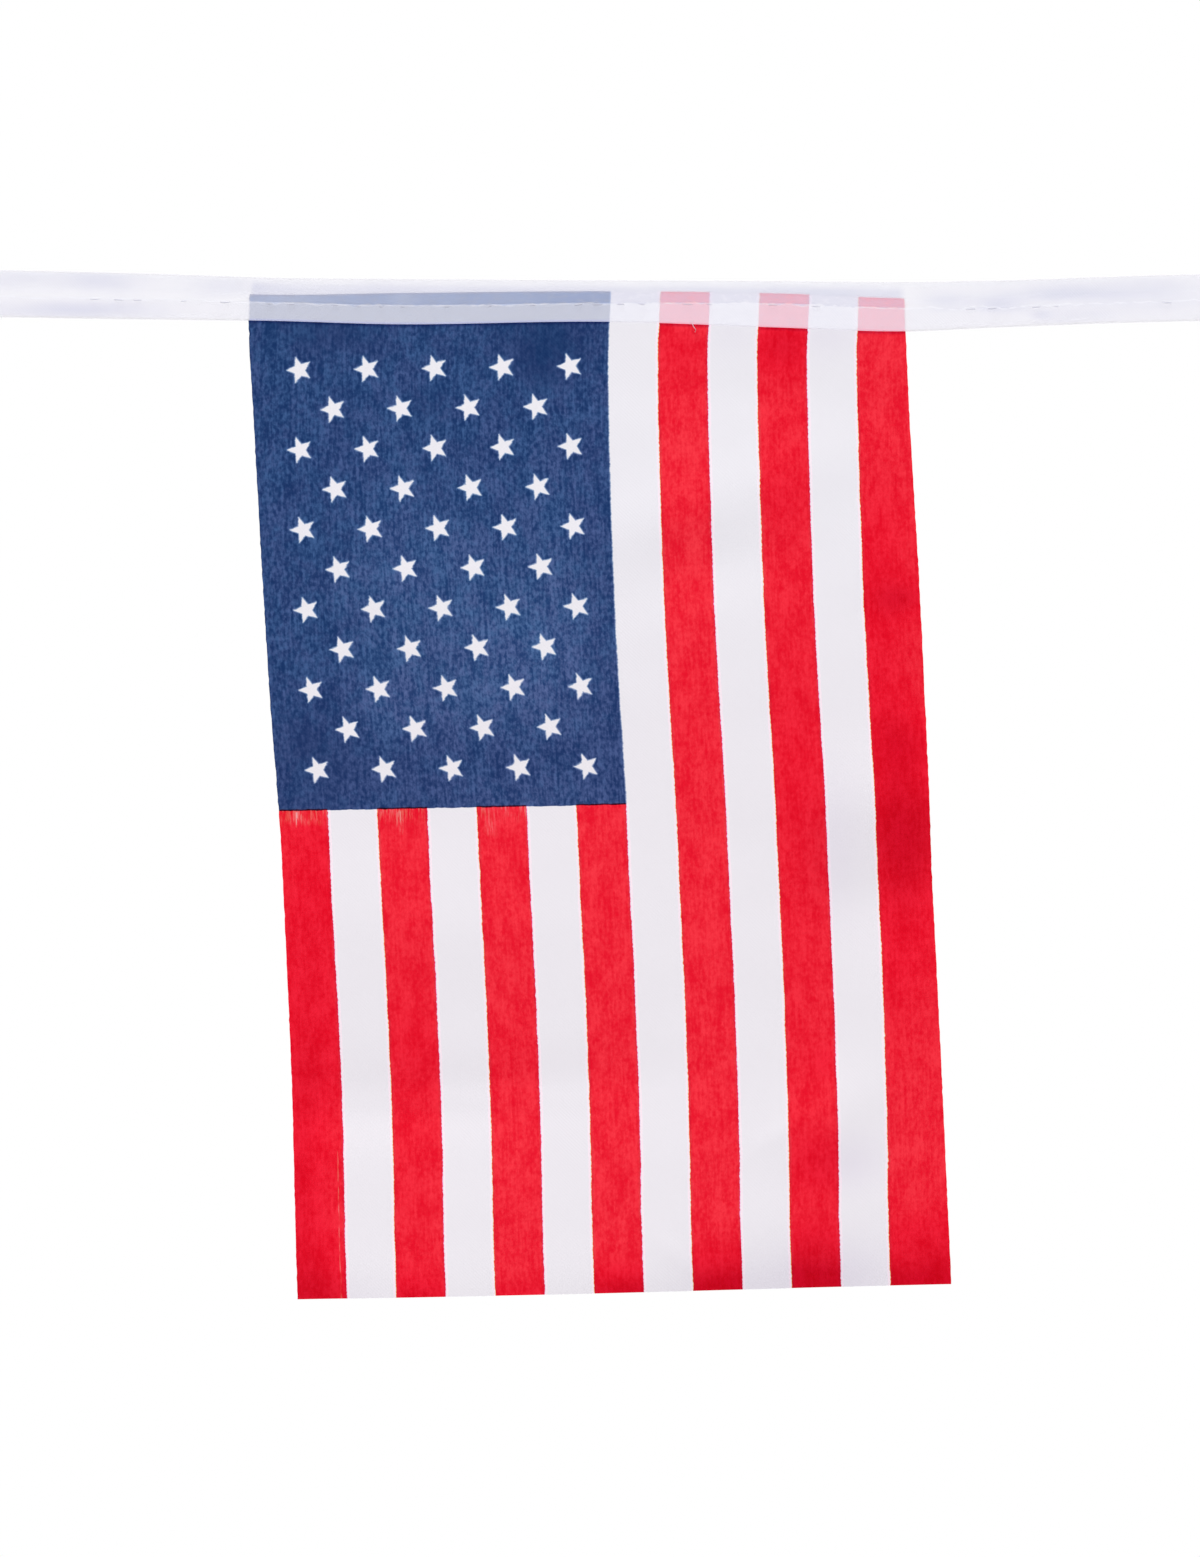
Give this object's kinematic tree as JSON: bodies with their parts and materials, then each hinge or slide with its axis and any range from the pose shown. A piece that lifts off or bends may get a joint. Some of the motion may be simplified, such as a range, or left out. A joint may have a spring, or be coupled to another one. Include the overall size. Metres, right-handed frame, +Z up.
{
  "type": "fabric bunting flag on header tape",
  "caption": "Upright printed cloth flag hanging from a lengthwise-folded half-sheer tape that is strung or pinned up along its top edge.",
  "frame": {"origin": "middle of the tape's top edge, midway between its front and back legs", "axes": "+X along the tape to the viewer's right, +Y away from the viewer, +Z up; the flag hangs towards -Z"},
  "size_m": [0.3, 0.0073, 0.2359],
  "materials": {
    "printed_cloth": "matt printed plain weave, red and white stripes with a blue canton of white stars, print showing through to the back",
    "tape_cloth": "soft white half-sheer ribbon, folded lengthwise with its edges turned in"
  },
  "bodies": {
    "root": {"flag_panel": "printed_cloth", "header_tape": "tape_cloth"}
  },
  "joints": []
}
